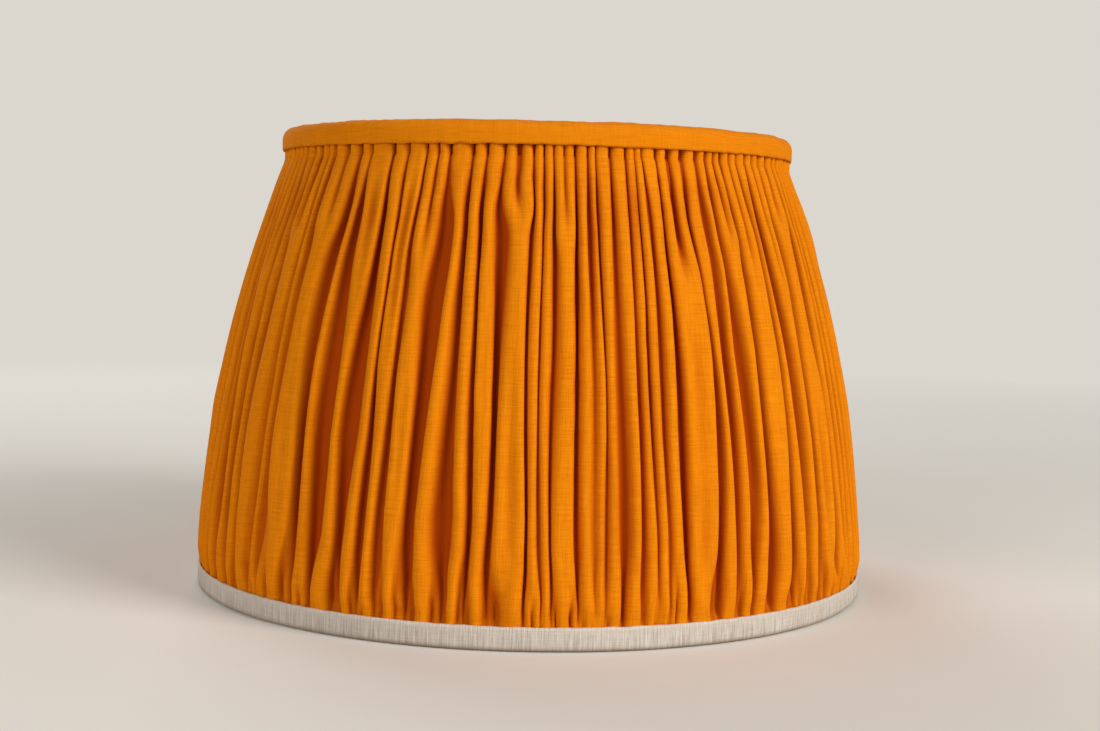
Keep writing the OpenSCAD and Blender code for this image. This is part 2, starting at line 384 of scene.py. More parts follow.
class Effects:
    """The shared shader node groups, each built once."""

    def __init__(self) -> None:
        """Builds every group."""
        self.groups: dict[Effect, bpy.types.NodeTree] = {
            Effect.WEAVE: self.weave(),
            Effect.DUST: self.dust(),
            Effect.GRAIN: self.grain(),
            Effect.WEAR: self.wear(),
        }

    @staticmethod
    def weave() -> bpy.types.NodeTree:
        """Plain weave: crossing threads with uneven thickness and a few long slubs.

        Returns:
            The finished group.
        """
        graph = GroupGraph(Effect.WEAVE, "Pitch", "Slubs", "Weft")
        parts = graph.node("ShaderNodeSeparateXYZ", {0: graph.at})
        bend = graph.noise(graph.at, scale=220.0, detail=1.0)
        swing = graph.math("MULTIPLY", graph.math("SUBTRACT", bend, 0.5), 2.4)
        waves = []
        for axis in range(2):
            turned = graph.math("MULTIPLY", parts.outputs[axis], math.pi)
            turn = graph.math("DIVIDE", turned, graph.given["Pitch"])
            waves.append(graph.math("SINE", graph.math("ADD", turn, swing)))
        crossing = graph.math("MULTIPLY", waves[0], waves[1])
        warp = graph.noise(graph.scaled(graph.at, (1500.0, 70.0, 1.0)), scale=1.0)
        weft = graph.noise(graph.scaled(graph.at, (75.0, 1500.0, 1.0)), scale=1.0)
        share = graph.math("MULTIPLY", graph.given["Weft"], 0.5)
        threads = graph.math("MULTIPLY_ADD", share, graph.math("SUBTRACT", weft, warp), warp)
        across = graph.math("MULTIPLY", graph.stretch(weft, low=0.60, high=0.78), graph.given["Weft"])
        thick = graph.math("ADD", graph.stretch(warp, low=0.62, high=0.80), across)
        slubs = graph.math("MULTIPLY", thick, graph.given["Slubs"])
        lift = graph.math("MULTIPLY", slubs, 0.5)
        height = graph.math("ADD", graph.math("MULTIPLY_ADD", crossing, 0.28, 0.4), lift)
        height = graph.math("ADD", height, graph.math("MULTIPLY", threads, 0.6))
        pale = graph.stretch(threads, low=0.30, high=0.66)
        tone = graph.math("ADD", pale, graph.math("MULTIPLY", slubs, 0.25))
        hole = graph.stretch(crossing, low=-0.55, high=-1.0)
        gap = graph.math("MULTIPLY", hole, graph.stretch(threads, low=0.5, high=0.4))
        return graph.put_out(Height=height, Thread=tone, Gap=gap)

    @staticmethod
    def dust() -> bpy.types.NodeTree:
        """Dust on faces that look up, broken by soft noise.

        Returns:
            The finished group.
        """
        graph = GroupGraph(Effect.DUST, "Amount")
        facing = graph.node("ShaderNodeNewGeometry")
        up = graph.node("ShaderNodeSeparateXYZ", {0: facing.outputs["Normal"]})
        flat = graph.stretch(up.outputs[2], low=0.25, high=0.95)
        cloud = graph.stretch(graph.noise(graph.at, scale=90.0, detail=4.0), low=0.35, high=0.7)
        speck = graph.stretch(graph.noise(graph.at, scale=2600.0, detail=1.0), low=0.58, high=0.72)
        dust = graph.math("MULTIPLY", flat, graph.math("MULTIPLY_ADD", cloud, 0.8, speck))
        mask = graph.math("MULTIPLY", dust, graph.given["Amount"], clamp=True)
        return graph.put_out(Mask=mask)

    @staticmethod
    def grain() -> bpy.types.NodeTree:
        """Fine orange-peel grain and a slow mottle.

        Returns:
            The finished group.
        """
        graph = GroupGraph(Effect.GRAIN, "Scale")
        fine = graph.noise(graph.at, scale=graph.given["Scale"], detail=3.0)
        slow = graph.noise(graph.at, scale=45.0, detail=3.0)
        mottle = graph.stretch(slow, low=0.3, high=0.7)
        return graph.put_out(Height=fine, Mottle=mottle)

    @staticmethod
    def wear() -> bpy.types.NodeTree:
        """Coating rubbed off along edges, with a few scattered chips.

        Returns:
            The finished group.
        """
        graph = GroupGraph(Effect.WEAR, "Amount")
        shape = graph.node("ShaderNodeNewGeometry")
        edge = graph.stretch(shape.outputs["Pointiness"], low=0.52, high=0.62)
        chips = graph.stretch(graph.noise(graph.at, scale=900.0, detail=3.0), low=0.66, high=0.74)
        patch = graph.stretch(graph.noise(graph.at, scale=160.0), low=0.45, high=0.6)
        worn = graph.math("ADD", graph.math("MULTIPLY", edge, patch), chips)
        mask = graph.math("MULTIPLY", worn, graph.given["Amount"], clamp=True)
        return graph.put_out(Mask=mask)


class SurfaceGraph(Graph):
    """The graph of one material, with the shared effects at hand."""

    def __init__(self, name: str, effects: Effects | None = None) -> None:
        """Makes the material called name.

        Args:
            name: Name of the material.
            effects: The shared node groups, where the material uses any.
        """
        self.surface = bpy.data.materials.new(name)
        self.surface.use_nodes = True
        super().__init__(self.surface.node_tree)
        self.effects = effects
        self.place = self.node("ShaderNodeTexCoord").outputs["Object"]

    def effect(self, kind: Effect, **inputs: object) -> bpy.types.NodeOutputs:
        """Places a shared group.

        Args:
            kind: Which group.
            inputs: Values or sockets for its inputs.

        Returns:
            The group's outputs.
        """
        placed = self.node("ShaderNodeGroup")
        placed.node_tree = self.effects.groups[kind]
        for name, value in inputs.items():
            self.feed(value, placed.inputs[name])
        return placed.outputs

    def close(self, constants: dict, fed: dict, bump: tuple[object, float, float]) -> None:
        """Adds the surface shader, its bump and the output.

        Args:
            constants: Plain values of the shader's own sockets.
            fed: Sockets that feed it.
            bump: Height socket, strength and distance of the bump.
        """
        height, strength, distance = bump
        relief = self.node("ShaderNodeBump", {"Height": height, "Strength": strength, "Distance": distance})
        inputs = {**constants, **fed, "Normal": relief.outputs["Normal"]}
        shader = self.node("ShaderNodeBsdfPrincipled", inputs)
        self.node("ShaderNodeOutputMaterial", {"Surface": shader.outputs[0]})


# ---------------------------------------------------------------------------------------------
# Finishes
# ---------------------------------------------------------------------------------------------


@dataclass(frozen=True)
class Finish:
    """What every finish shares: its own name and the name of a material slot, which is not used."""

    name: str
    slot: str

    def material(self, effects: Effects) -> bpy.types.Material:
        """Builds the material.

        Args:
            effects: The shared node groups.

        Returns:
            The new material.
        """
        graph = SurfaceGraph(self.name, effects)
        self.paint(graph)
        return graph.surface

    def paint(self, graph: SurfaceGraph) -> None:
        """Adds the finish's own nodes."""
        raise NotImplementedError


@dataclass(frozen=True)
class LinenFinish(Finish):
    """Plain-woven linen or cotton, read on the cloth's own UV map in metres."""

    light: Colour
    deep: Colour
    pitch: float = 0.74 * MM
    slubs: float = 0.5
    relief: float = 0.10 * MM
    relief_strength: float = 0.9
    weft: float = 1.0
    roughness: float = 0.9
    specular: float = 0.06
    sheen: float = 0.05
    sheen_roughness: float = 0.45
    dust: float = 0.04
    dye_share: float = 0.22
    gap_shade: float = 0.45
    gap_depth: float = 0.7
    painted_valley_shade: Colour | None = None
    painted_valley_shade_share: float = 0.92
    painted_reflection: Colour | None = None
    painted_reflection_below: float = 0.0

    def paint(self, graph: SurfaceGraph) -> None:
        """Adds the weave, its dye, painted shade in the fold valleys, a painted warm reflection on the
        lowest edge, and the dust.

        Args:
            graph: The material's graph.
        """
        cloth = graph.node("ShaderNodeUVMap", uv_map="cloth").outputs["UV"]
        weave = graph.effect(Effect.WEAVE, Vector=cloth, Pitch=self.pitch, Slubs=self.slubs, Weft=self.weft)
        dye = graph.stretch(graph.noise(cloth, scale=14.0, detail=4.0), low=0.25, high=0.75)
        thread = graph.math("MULTIPLY", weave["Thread"], 1 - self.dye_share)
        colour = graph.blend(graph.math("MULTIPLY_ADD", dye, self.dye_share, thread), self.deep, self.light)
        shade = tuple(self.gap_shade * value for value in self.deep)
        colour = graph.blend(graph.math("MULTIPLY", weave["Gap"], self.gap_depth), colour, shade)
        # Painted shade in the fold valleys, stronger the deeper a point lies in its fold.
        if self.painted_valley_shade is not None:
            colour = self.add_painted_valley_shade(graph, colour)
        # Painted warm reflection on the lowest edge, in patches.
        if self.painted_reflection is not None:
            colour = self.add_painted_reflection(graph, colour)
        dust = graph.effect(Effect.DUST, Vector=graph.place, Amount=self.dust)
        colour = graph.blend(dust["Mask"], colour, DUST_ON_CLOTH)
        constants = {
            "Roughness": self.roughness,
            "Specular IOR Level": self.specular,
            "Sheen Weight": self.sheen,
            "Sheen Roughness": self.sheen_roughness,
            "Sheen Tint": (*self.light, 1.0),
        }
        bump = (weave["Height"], self.relief_strength, self.relief)
        graph.close(constants, {"Base Color": colour}, bump)

    def add_painted_valley_shade(self, graph: SurfaceGraph, colour: bpy.types.NodeSocket) -> bpy.types.NodeSocket:
        """Paints shade into the valleys of the folds, darker the deeper a point lies in its fold.

        Args:
            graph: The material's graph.
            colour: The linen's colour so far.

        Returns:
            The tinted colour's socket.
        """
        hollow = graph.node("ShaderNodeAttribute", attribute_name="hollow").outputs["Fac"]
        inside = graph.math("POWER", graph.stretch(hollow, low=0.16, high=1.0), 1.05)
        return graph.blend(graph.math("MULTIPLY", inside, self.painted_valley_shade_share), colour, self.painted_valley_shade)

    def add_painted_reflection(self, graph: SurfaceGraph, colour: bpy.types.NodeSocket) -> bpy.types.NodeSocket:
        """Paints a warm reflection onto the lowest edge, in patches.

        Args:
            graph: The material's graph.
            colour: The linen's colour so far.

        Returns:
            The colour's socket, with the painted reflection.
        """
        height = graph.node("ShaderNodeSeparateXYZ", {0: graph.place}).outputs[2]
        low = graph.stretch(height, low=self.painted_reflection_below, high=0.0)
        patchy = graph.stretch(graph.noise(graph.place, scale=60.0, detail=3.0), low=0.2, high=0.8)
        amount = graph.math("MULTIPLY", low, graph.math("MULTIPLY_ADD", patchy, 0.5, 0.4))
        return graph.blend(amount, colour, self.painted_reflection)


@dataclass(frozen=True)
class ThreadFinish(Finish):
    """Twisted sewing thread, with its twist on Object coordinates."""

    light: Colour
    deep: Colour
    twist_length: float = 0.45 * MM
    relief: float = 0.05 * MM

    def paint(self, graph: SurfaceGraph) -> None:
        """Adds the thread's twist, with painted shade in its grooves, and its fibres.

        Args:
            graph: The material's graph.
        """
        parts = graph.node("ShaderNodeSeparateXYZ", {0: graph.place}).outputs
        along = graph.math("ADD", graph.math("ADD", parts[0], parts[1]), parts[2])
        twist = graph.math("SINE", graph.math("MULTIPLY", along, TAU / self.twist_length))
        lay = graph.math("MULTIPLY_ADD", twist, 0.5, 0.5)
        grain = graph.effect(Effect.GRAIN, Vector=graph.place, Scale=4000.0)
        # Painted shade: the grooves of the twist get the deep colour and the crests get the light one.
        colour = graph.blend(graph.math("MULTIPLY", lay, grain["Height"]), self.deep, self.light)
        constants = {"Roughness": 0.7, "Specular IOR Level": 0.2, "Sheen Weight": 0.15}
        graph.close(constants, {"Base Color": colour}, (lay, 0.6, self.relief))


@dataclass(frozen=True)
class CoatedFinish(Finish):
    """Powder-coated steel, with grain, rubbed edges and settled dust."""

    coat: Colour
    steel: Colour = (0.42, 0.41, 0.40)
    yellowing: Colour = (0.93, 0.90, 0.82)
    wear: float = 0.5
    dust: float = 0.35
    relief: float = 0.06 * MM

    def paint(self, graph: SurfaceGraph) -> None:
        """Adds the coat's mottle, the bare steel where it is rubbed, and the dust.

        Args:
            graph: The material's graph.
        """
        grain = graph.effect(Effect.GRAIN, Vector=graph.place, Scale=2400.0)
        wear = graph.effect(Effect.WEAR, Vector=graph.place, Amount=self.wear)
        dust = graph.effect(Effect.DUST, Vector=graph.place, Amount=self.dust)
        aged = tuple(value * factor for value, factor in zip(self.coat, self.yellowing))
        colour = graph.blend(grain["Mottle"], aged, self.coat)
        colour = graph.blend(wear["Mask"], colour, self.steel)
        colour = graph.blend(dust["Mask"], colour, DUST_ON_METAL)
        rough = graph.math("MULTIPLY_ADD", grain["Height"], 0.25, 0.32)
        rough = graph.math("ADD", rough, graph.math("MULTIPLY", dust["Mask"], 0.4), clamp=True)
        fed = {"Base Color": colour, "Roughness": rough, "Metallic": wear["Mask"]}
        bump = (grain["Height"], 0.35, self.relief)
        graph.close({"Specular IOR Level": 0.45}, fed, bump)


@dataclass(frozen=True)
class SpringSteelFinish(Finish):
    """Zinc-plated spring steel, brushed round its axis."""

    bright: Colour
    dull: Colour
    tarnish: Colour = (0.30, 0.27, 0.22)
    wear: float = 0.3
    brushing: tuple[float, float, float] = (9000.0, 900.0, 900.0)
    relief: float = 0.03 * MM

    def paint(self, graph: SurfaceGraph) -> None:
        """Adds the brushed lines, the dull patches and the tarnished edges.

        Args:
            graph: The material's graph.
        """
        brushed = graph.noise(graph.scaled(graph.place, self.brushing), scale=1.0)
        grain = graph.effect(Effect.GRAIN, Vector=graph.place, Scale=3000.0)
        wear = graph.effect(Effect.WEAR, Vector=graph.place, Amount=self.wear)
        bright = graph.math("MULTIPLY", brushed, grain["Mottle"])
        colour = graph.blend(bright, self.dull, self.bright)
        colour = graph.blend(wear["Mask"], colour, self.tarnish)
        rough = graph.math("MULTIPLY_ADD", brushed, 0.3, 0.22)
        fed = {"Base Color": colour, "Roughness": rough}
        graph.close({"Metallic": 1.0}, fed, (brushed, 0.3, self.relief))


@dataclass(frozen=True)
class MouldedFinish(Finish):
    """Moulded heat-resistant plastic, slightly yellowed, with spark-eroded grain."""

    clean: Colour
    yellowed: Colour
    wear: float = 0.25
    wear_shade: float = 0.8
    dust: float = 0.3
    relief: float = 0.04 * MM

    def paint(self, graph: SurfaceGraph) -> None:
        """Adds the yellowed patches, the handled edges and the dust.

        Args:
            graph: The material's graph.
        """
        grain = graph.effect(Effect.GRAIN, Vector=graph.place, Scale=3200.0)
        dust = graph.effect(Effect.DUST, Vector=graph.place, Amount=self.dust)
        wear = graph.effect(Effect.WEAR, Vector=graph.place, Amount=self.wear)
        handled = tuple(self.wear_shade * value for value in self.yellowed)
        colour = graph.blend(grain["Mottle"], self.yellowed, self.clean)
        colour = graph.blend(wear["Mask"], colour, handled)
        colour = graph.blend(dust["Mask"], colour, DUST_ON_METAL)
        rough = graph.math("MULTIPLY_ADD", grain["Height"], 0.3, 0.35)
        constants = {"Specular IOR Level": 0.4, "Subsurface Weight": 0.08, "Subsurface Scale": 2 * MM}
        fed = {"Base Color": colour, "Roughness": rough}
        graph.close(constants, fed, (grain["Height"], 0.4, self.relief))


# The mustard linen's valley colour is painted shade for the folds' valleys.
MUSTARD_LINEN = LinenFinish(
    "mustard_linen", "gathered_linen", light=(0.83, 0.260, 0.0022), deep=(0.64, 0.158, 0.0010), dust=0.02,
    painted_valley_shade=(0.40, 0.046, 0.0007),
)
MUSTARD_ROLL = LinenFinish(
    "mustard_roll", "mustard_binding", light=(0.80, 0.245, 0.0022), deep=(0.64, 0.170, 0.0010), slubs=0.35,
    dust=0.025,
)
# The natural linen's lowest edge gets a painted warm reflection.
NATURAL_LINEN = LinenFinish(
    "natural_linen", "natural_binding", light=(0.78, 0.71, 0.63), deep=(0.43, 0.355, 0.29), slubs=0.8,
    weft=0.4, painted_reflection=(0.50, 0.33, 0.20), painted_reflection_below=3.2 * MM,
)
TAPE_COTTON = LinenFinish(
    "tape_cotton", "cotton_tape", light=(0.82, 0.78, 0.68), deep=(0.62, 0.56, 0.45), pitch=0.5 * MM
)
MUSTARD_THREAD = ThreadFinish("mustard_thread", "mustard_thread", (0.78, 0.33, 0.03), (0.42, 0.14, 0.01))
NATURAL_THREAD = ThreadFinish("natural_thread", "natural_thread", (0.76, 0.69, 0.58), (0.48, 0.40, 0.30))
COATED_WIRE = CoatedFinish("coated_wire", "coated_wire", coat=(0.86, 0.85, 0.81))
COATED_FITTER = CoatedFinish("coated_fitter", "coated_fitter", coat=(0.88, 0.87, 0.83), wear=0.4)
SPRING_STEEL = SpringSteelFinish("spring_steel", "spring_steel", (0.72, 0.72, 0.74), (0.46, 0.45, 0.44))
WHITE_PLASTIC = MouldedFinish("white_plastic", "white_plastic", (0.88, 0.87, 0.83), (0.80, 0.75, 0.62))


# ---------------------------------------------------------------------------------------------
# Shape of the shade, worked out from the frame
# ---------------------------------------------------------------------------------------------


@dataclass
class ShadeShape:
    """Radii and heights that the cloth follows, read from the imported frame."""

    cover_bow_r: float = 0.580
    struts: int = 8
    strut_bow: float = 8.2 * MM
    strut_wire_r: float = 1.25 * MM
    strut_play: float = 0.55 * MM
    strut_rest: float = 2.5 * MM
    fall_beside: float = 0.8
    sag: float = 4.5 * MM
    sag_spread: float = 11 * MM
    sag_from: tuple[float, float] = (-4 * MM, 8 * MM)
    sag_until: tuple[float, float] = (-45 * MM, -8 * MM)
    bulge: float = 0.6 * MM
    bulge_at: float = 32 * MM
    bulge_spread: float = 22 * MM
    pinch: float = 1.25 * MM
    pinch_rise: float = 10 * MM
    under_roll: float = 1.3 * MM
    frame_room: float = 0.5 * MM
    pressed: float = 1.9 * MM
    deepest: float = 6.4 * MM
    depth_at_roll: float = 4.3 * MM
    base_r: float = field(init=False)
    band_top: float = field(init=False)
    roll_low: float = field(init=False)
    roll_r: float = field(init=False)
    bottom_ring: tuple[float, float] = field(init=False)
    top_ring: tuple[float, float] = field(init=False)

    def __post_init__(self) -> None:
        """Reads the sizes from the CAD boxes."""
        self.base_r = CAD_BOX[1][0]
        self.band_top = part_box("bottom_binding")[1][2]
        self.roll_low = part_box("top_binding")[0][2]
        self.roll_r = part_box("top_binding")[1][0]
        self.bottom_ring = self.ring_centre("bottom_ring")
        self.top_ring = self.ring_centre("top_ring")

    @staticmethod
    def ring_centre(node: str) -> tuple[float, float]:
        """Radius and height of a wire ring's centre line.

        Args:
            node: The ring's CAD node.

        Returns:
            Its centre line's radius and height.
        """
        low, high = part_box(node)
        wire_r = (high[2] - low[2]) / 2
        return high[0] - wire_r, (high[2] + low[2]) / 2

    def outline(self, z: np.ndarray) -> np.ndarray:
        """Radius of the cover's outer outline at heights z: one arc, upright at the floor."""
        return self.base_r - (self.cover_bow_r - np.sqrt(self.cover_bow_r**2 - z**2))

    def strut_outside(self, z: np.ndarray) -> np.ndarray:
        """Radius of the struts' outer side at heights z.

        Args:
            z: Heights.

        Returns:
            The radius at each height.
        """
        low = np.array(self.bottom_ring)
        high = np.array(self.top_ring)
        chord = high - low
        length = np.hypot(*chord)
        out = np.array([chord[1], -chord[0]]) / length
        arc_r = (length**2 / 4 + self.strut_bow**2) / (2 * self.strut_bow)
        centre = (low + high) / 2 - out * (arc_r - self.strut_bow)
        height = np.clip(z, low[1], high[1]) - centre[1]
        return centre[0] + np.sqrt((arc_r + self.strut_wire_r) ** 2 - height**2)

    def ridge_radius(self, z: np.ndarray) -> np.ndarray:
        """Radius that the tops of the folds reach at heights z.

        Args:
            z: Heights.

        Returns:
            The radius at each height.
        """
        bulge = self.bulge * np.exp(-(((z - self.bulge_at) / self.bulge_spread) ** 2))
        pinch = self.pinch * (1 - smoothstep(z, self.band_top, self.band_top + self.pinch_rise))
        roll = np.where(z > 0.9 * self.roll_low, self.roll_r - self.under_roll, 0)
        return np.maximum(self.outline(z) + bulge - pinch, roll)

    def off_strut(self, theta: np.ndarray, radius: float) -> np.ndarray:
        """Distance along the cloth from each angle to the nearest strut."""
        turn = theta / (TAU / self.struts) - 0.5
        return np.abs(turn - np.round(turn)) * TAU / self.struts * radius

    def over_struts(self, theta: np.ndarray, z: float, radius: float) -> np.ndarray:
        """Smallest radius of the cloth: it rests on a strut, and beside it falls away."""
        beside = np.maximum(self.off_strut(theta, radius) - self.strut_rest, 0)
        return self.strut_outside(z) + self.strut_play - self.fall_beside * beside

    def sag_between_struts(self, z: float, theta: np.ndarray, radius: float) -> np.ndarray:
        """Extra depth that the valleys find between struts.

        Args:
            z: Height of the row.
            theta: Angles round the shade.
            radius: Radius of the cover there.

        Returns:
            The extra depth at each angle.
        """
        low = smoothstep(z, *(self.band_top + past for past in self.sag_from))
        high = smoothstep(z, *(self.roll_low + past for past in self.sag_until))
        beside = self.off_strut(theta, radius) / self.sag_spread
        return self.sag * low * (1 - high) * (1 - np.exp(-(beside**2)))

    def fold_depth(self, z: np.ndarray) -> np.ndarray:
        """Depth that the folds may have at heights z, outside the struts and the taped rings.

        Args:
            z: Heights.

        Returns:
            The depth at each height.
        """
        free = self.ridge_radius(z) - self.strut_outside(z) - self.frame_room
        free = np.where(z > self.roll_low - 5 * MM, self.depth_at_roll, free)
        rise = smoothstep(z, self.band_top - 3 * MM, self.band_top + 2 * MM)
        return self.pressed + (np.clip(free, self.pressed, self.deepest) - self.pressed) * rise


# ---------------------------------------------------------------------------------------------
# Gathered cover
# ---------------------------------------------------------------------------------------------


@dataclass(frozen=True)
class GatherHabit:
    """How unevenly the linen gathers: the sizes, spreads and limits of the random draws."""

    share_spread: float = 0.48
    share_limits: tuple[float, float] = (0.42, 2.5)
    bound_wander: float = 0.09
    middle_ramps: tuple[float, float] = (35 * MM, 34 * MM)
    openness: float = 0.70
    openness_wander: float = 0.55
    closed_power: float = 14
    open_power: float = 1.8
    flatness: float = 0.05
    flatness_wander: float = 0.25
    flatness_limits: tuple[float, float] = (-0.2, 0.6)
    wide_fold: float = 1.12
    split_chance: float = 0.85
    split_run: tuple[float, float] = (25 * MM, 90 * MM)
    lobe_chance: float = 0.95
    lobe_cut_chance: float = 0.75
    lobe_cut: tuple[float, float] = (0.17, 0.34)
    lobe_share: float = 0.97
    lobe_run: float = 12 * MM
    lobe_run_limits: tuple[float, float] = (5 * MM, 26 * MM)
    halved_chance: float = 0.15
    shared_lean: float = 0.20
    own_lean: float = 0.09
    lean_limit: float = 0.55
    skew: float = 0.22
    inner_wave: float = 0.16
    fullness_wander: float = 0.10
    gap: float = 0.7 * MM
    sway: float = 0.3 * MM


@dataclass
class FoldPlan:
    """How one panel's folds run from the bottom binding to the top one.

    Arrays are folds (or fold bounds) by rows of the cloth.
    """

    TUBE_POWER = 8
    LOBE_STEEPNESS = 1.5
    bounds: np.ndarray
    valley: np.ndarray
    flatness: np.ndarray
    skew: np.ndarray
    inner_wave: np.ndarray
    fullness: np.ndarray
    top_split: np.ndarray
    bottom_split: np.ndarray
    near_cut: np.ndarray
    far_cut: np.ndarray
    lean: np.ndarray
    gap: np.ndarray
    sway_modes: np.ndarray

    @classmethod
    def draw(cls, rng: np.random.Generator, panel: "GatheredPanel", z: np.ndarray) -> "FoldPlan":
        """Draws the folds of one panel.

        Args:
            rng: Seeded source of the draws.
            panel: The panel.
            z: Heights of its rows.

        Returns:
            The plan.
        """
        habit = panel.habit
        count = panel.folds
        v = (z - z[0]) / (z[-1] - z[0])
        share = np.clip(rng.lognormal(0, habit.share_spread, count), *habit.share_limits)
        lengths = share * panel.cut_width / share.sum()
        edges = np.concatenate([[0], np.cumsum(lengths)])
        roam = np.zeros((count + 1, z.size))
        roam[1:-1] = np.clip(wander(rng, count - 1, v, 3, 0.6), -2, 2) * habit.bound_wander
        roam[1:-1] *= np.minimum(lengths[:-1], lengths[1:])[:, None]
        low, high = panel.shape.band_top, panel.shape.roll_low
        low_ramp, high_ramp = habit.middle_ramps
        middle = smoothstep(z, low, low + low_ramp) * (1 - smoothstep(z, high - high_ramp, high))
        size = lengths / lengths.mean()
        opening = habit.openness + habit.openness_wander * wander(rng, count + 1, v, 2, 0.35)
        openness = np.clip(opening, 0, 1) * middle
        flatness = habit.flatness + habit.flatness_wander * wander(rng, count, v, 2, 0.4)
        splits = (size > habit.wide_fold) & (rng.random(count) < habit.split_chance)
        run_up = rng.uniform(*habit.split_run, count)[:, None]
        top_split = splits[:, None] * smoothstep((z - high + run_up) / run_up, 0.0, 0.9)
        lobed = rng.random(count) < habit.lobe_chance
        near = rng.random(count) < habit.lobe_cut_chance
        near_cut = np.where(near, rng.uniform(*habit.lobe_cut, count), 0.0)
        far = rng.random(count) < habit.lobe_cut_chance
        far_cut = np.where(far, 1 - rng.uniform(*habit.lobe_cut, count), 1.0)
        halved = rng.random(count) < habit.halved_chance
        run_down = np.clip(rng.lognormal(math.log(habit.lobe_run), 0.5, count), *habit.lobe_run_limits)
        run_down *= size**0.5
        above = np.maximum(z - low, 0)[None, :]
        bottom_split = lobed[:, None] * np.exp(-((above / run_down[:, None]) ** 1.5)) * habit.lobe_share
        shared = wander(rng, 1, np.linspace(0, 1, count), 7, 0.9)[0] * habit.shared_lean
        lean = shared[:, None] + wander(rng, count, v, 2, 0.5) * habit.own_lean
        lean = np.clip(lean, -habit.lean_limit, habit.lean_limit) * (0.35 + 0.65 * middle)
        skew = np.clip(wander(rng, count, v, 2, 0.5) * habit.skew, -0.5, 0.5)
        inner_wave = wander(rng, count, v, 3, 0.5) * habit.inner_wave * size[:, None] * (0.3 + 0.7 * middle)
        fullness = np.clip(1 + habit.fullness_wander * wander(rng, count, v, 3, 0.5), 0.7, 1.35)
        gap = np.abs(wander(rng, count, v, 2, 0.6)) * habit.gap * middle
        waves = (rng.uniform(1.5, 9, 8), rng.uniform(0.3, 1.4, 8))
        sway_modes = np.column_stack([*waves, rng.uniform(0, TAU, 8), rng.normal(0, habit.sway, 8)])
        return cls(
            bounds=edges[:, None] + roam,
            valley=habit.closed_power - (habit.closed_power - habit.open_power) * openness**0.6,
            flatness=np.clip(flatness, *habit.flatness_limits),
            skew=skew,
            inner_wave=inner_wave,
            fullness=fullness,
            top_split=top_split,
            bottom_split=bottom_split,
            near_cut=np.where(halved, 0.0, near_cut),
            far_cut=np.where(halved, 0.5, far_cut),
            lean=lean,
            gap=gap,
            sway_modes=sway_modes,
        )

    def phase(self, s: np.ndarray, row: int) -> np.ndarray:
        """Number of folds passed at each column, with the share of the present one."""
        return np.interp(s, self.bounds[:, row], np.arange(self.bounds.shape[0]))

    def fold_at(self, s: np.ndarray, row: int) -> np.ndarray:
        """Number of the fold that each column lies in."""
        return np.clip(self.phase(s, row).astype(int), 0, self.bounds.shape[0] - 2)

    def sway(self, across: np.ndarray, up: float) -> np.ndarray:
        """Slow sideways sway of the folds at one height, none at the seams.

        Args:
            across: Place of each column across the panel, from 0 to 1.
            up: Place of the row up the panel, from 0 to 1.

        Returns:
            Distance that each column sways.
        """
        total = np.zeros_like(across)
        for waves, rise, turn, size in self.sway_modes:
            total += size * np.cos(TAU * (waves * across + rise * up) + turn)
        return total * np.sin(math.pi * across) ** 0.4

    def slope(self, s: np.ndarray, row: int) -> np.ndarray:
        """Pattern of the cloth's tilt across one row: tubes with narrow or open valleys between.

        Args:
            s: Distance of each column across the flat cloth.
            row: Number of the row.

        Returns:
            Tilt of each column, of about unit size.
        """
        k = self.fold_at(s, row)
        share = self.phase(s, row) - k
        share = share + self.skew[k, row] * np.sin(TAU * share) / TAU
        q = 2 * share - 1
        valley = np.where(q < 0, self.valley[k, row], self.valley[k + 1, row])
        tube = -np.sign(q) * np.abs(q) ** (1 + self.flatness[k, row]) * (1 - np.abs(q) ** valley)
        tube += self.inner_wave[k, row] * np.sin(2 * TAU * share)
        twin = self.tubes(share, 0.0, 0.5)
        lobe = self.tubes(share, self.near_cut[k], self.far_cut[k]) * self.LOBE_STEEPNESS
        low = self.bottom_split[k, row]
        high = self.top_split[k, row]
        slope = (tube * (1 - low) + lobe * low) * (1 - high) + twin * high
        return slope * self.fullness[k, row]

    @classmethod
    def tubes(cls, share: np.ndarray, near: float | np.ndarray, far: float | np.ndarray) -> np.ndarray:
        """Tilt of a fold that is parted into up to three small tubes.

        Args:
            share: Place across the fold, from 0 to 1.
            near: Where the first tube ends, or 0 for none.
            far: Where the last tube starts, or 1 for none.

        Returns:
            Tilt of each column, of about unit size.
        """
        share = np.clip(share, 0, 1 - 1e-9)
        low = np.where(share < near, 0.0, np.where(share < far, near, far))
        high = np.where(share < near, near, np.where(share < far, far, 1.0))
        q = 2 * (share - low) / (high - low) - 1
        return -q * (1 - np.abs(q) ** cls.TUBE_POWER)


